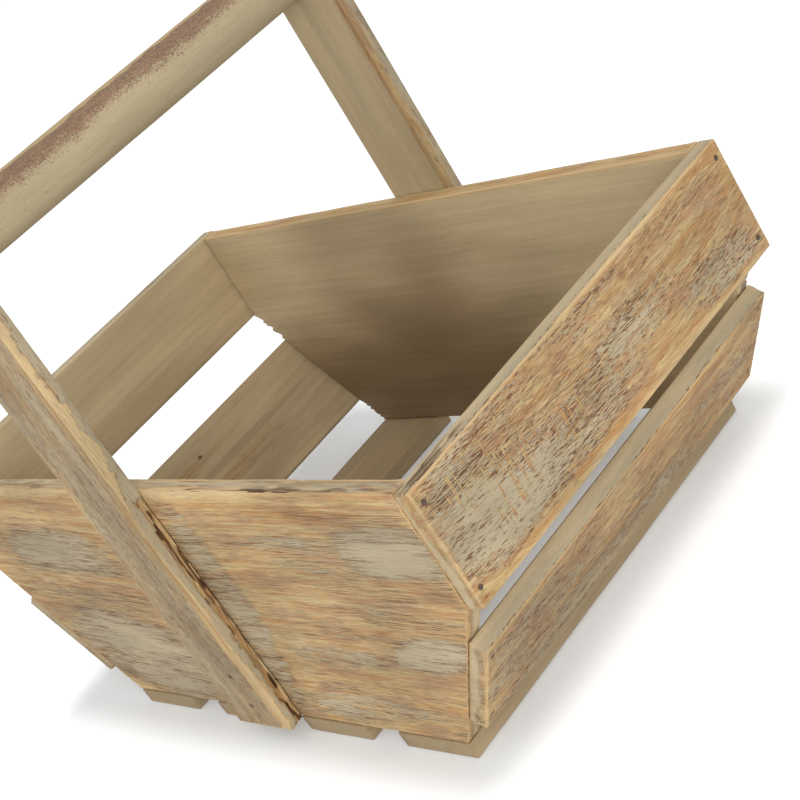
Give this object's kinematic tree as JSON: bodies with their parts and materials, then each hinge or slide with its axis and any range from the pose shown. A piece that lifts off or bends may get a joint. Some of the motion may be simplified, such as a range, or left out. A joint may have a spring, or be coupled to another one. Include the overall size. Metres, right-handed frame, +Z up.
{
  "type": "garden trug",
  "caption": "Slatted wooden garden trug with two six-sided end panels, spaced side slats and floor boards, and a fixed upright handle with a round bar.",
  "frame": {"origin": "on the ground under the middle of the trug", "axes": "+Z up, +X across the wide panels to the right, +Y along the slats to the back"},
  "size_m": [0.4024, 0.2616, 0.3083],
  "materials": {
    "worn_panel_wood": "rubbed-back greige paint over brown wood",
    "worn_slat_wood": "rubbed-back greige paint over brown wood, bare on the arrises",
    "smooth_slat_wood": "thin greige stain, matt",
    "floor_wood": "thin greige stain, matt",
    "handle_wood": "greige paint, worn bare on the edges and the top of the bar",
    "nail_steel": "dark, slightly rusted wire nail"
  },
  "bodies": {
    "root": {"front_panel": "worn_panel_wood", "back_panel": "worn_panel_wood", "right_upper_slat": "worn_slat_wood", "right_lower_slat": "worn_slat_wood", "left_upper_slat": "smooth_slat_wood", "left_lower_slat": "smooth_slat_wood", "front_strut": "handle_wood", "back_strut": "handle_wood", "handle_bar": "handle_wood", "floor_board_1": "floor_wood", "floor_board_2": "floor_wood", "floor_board_3": "floor_wood", "floor_board_4": "floor_wood", "nail_left_upper_front_top": "nail_steel", "nail_left_upper_front_low": "nail_steel", "nail_left_upper_back_top": "nail_steel", "nail_left_upper_back_low": "nail_steel", "nail_left_lower_front_top": "nail_steel", "nail_left_lower_front_low": "nail_steel", "nail_left_lower_back_top": "nail_steel", "nail_left_lower_back_low": "nail_steel", "nail_right_upper_front_top": "nail_steel", "nail_right_upper_front_low": "nail_steel", "nail_right_upper_back_top": "nail_steel", "nail_right_upper_back_low": "nail_steel", "nail_right_lower_front_top": "nail_steel", "nail_right_lower_front_low": "nail_steel", "nail_right_lower_back_top": "nail_steel", "nail_right_lower_back_low": "nail_steel", "nail_floor_1_front_left": "nail_steel", "nail_floor_1_front_right": "nail_steel", "nail_floor_1_back_left": "nail_steel", "nail_floor_1_back_right": "nail_steel", "nail_floor_2_front_left": "nail_steel", "nail_floor_2_front_right": "nail_steel", "nail_floor_2_back_left": "nail_steel", "nail_floor_2_back_right": "nail_steel", "nail_floor_3_front_left": "nail_steel", "nail_floor_3_front_right": "nail_steel", "nail_floor_3_back_left": "nail_steel", "nail_floor_3_back_right": "nail_steel", "nail_floor_4_front_left": "nail_steel", "nail_floor_4_front_right": "nail_steel", "nail_floor_4_back_left": "nail_steel", "nail_floor_4_back_right": "nail_steel", "nail_strut_front_low": "nail_steel", "nail_strut_front_high": "nail_steel", "nail_bar_front_under": "nail_steel", "nail_bar_front_over": "nail_steel", "nail_strut_back_low": "nail_steel", "nail_strut_back_high": "nail_steel", "nail_bar_back_under": "nail_steel", "nail_bar_back_over": "nail_steel"}
  },
  "joints": []
}
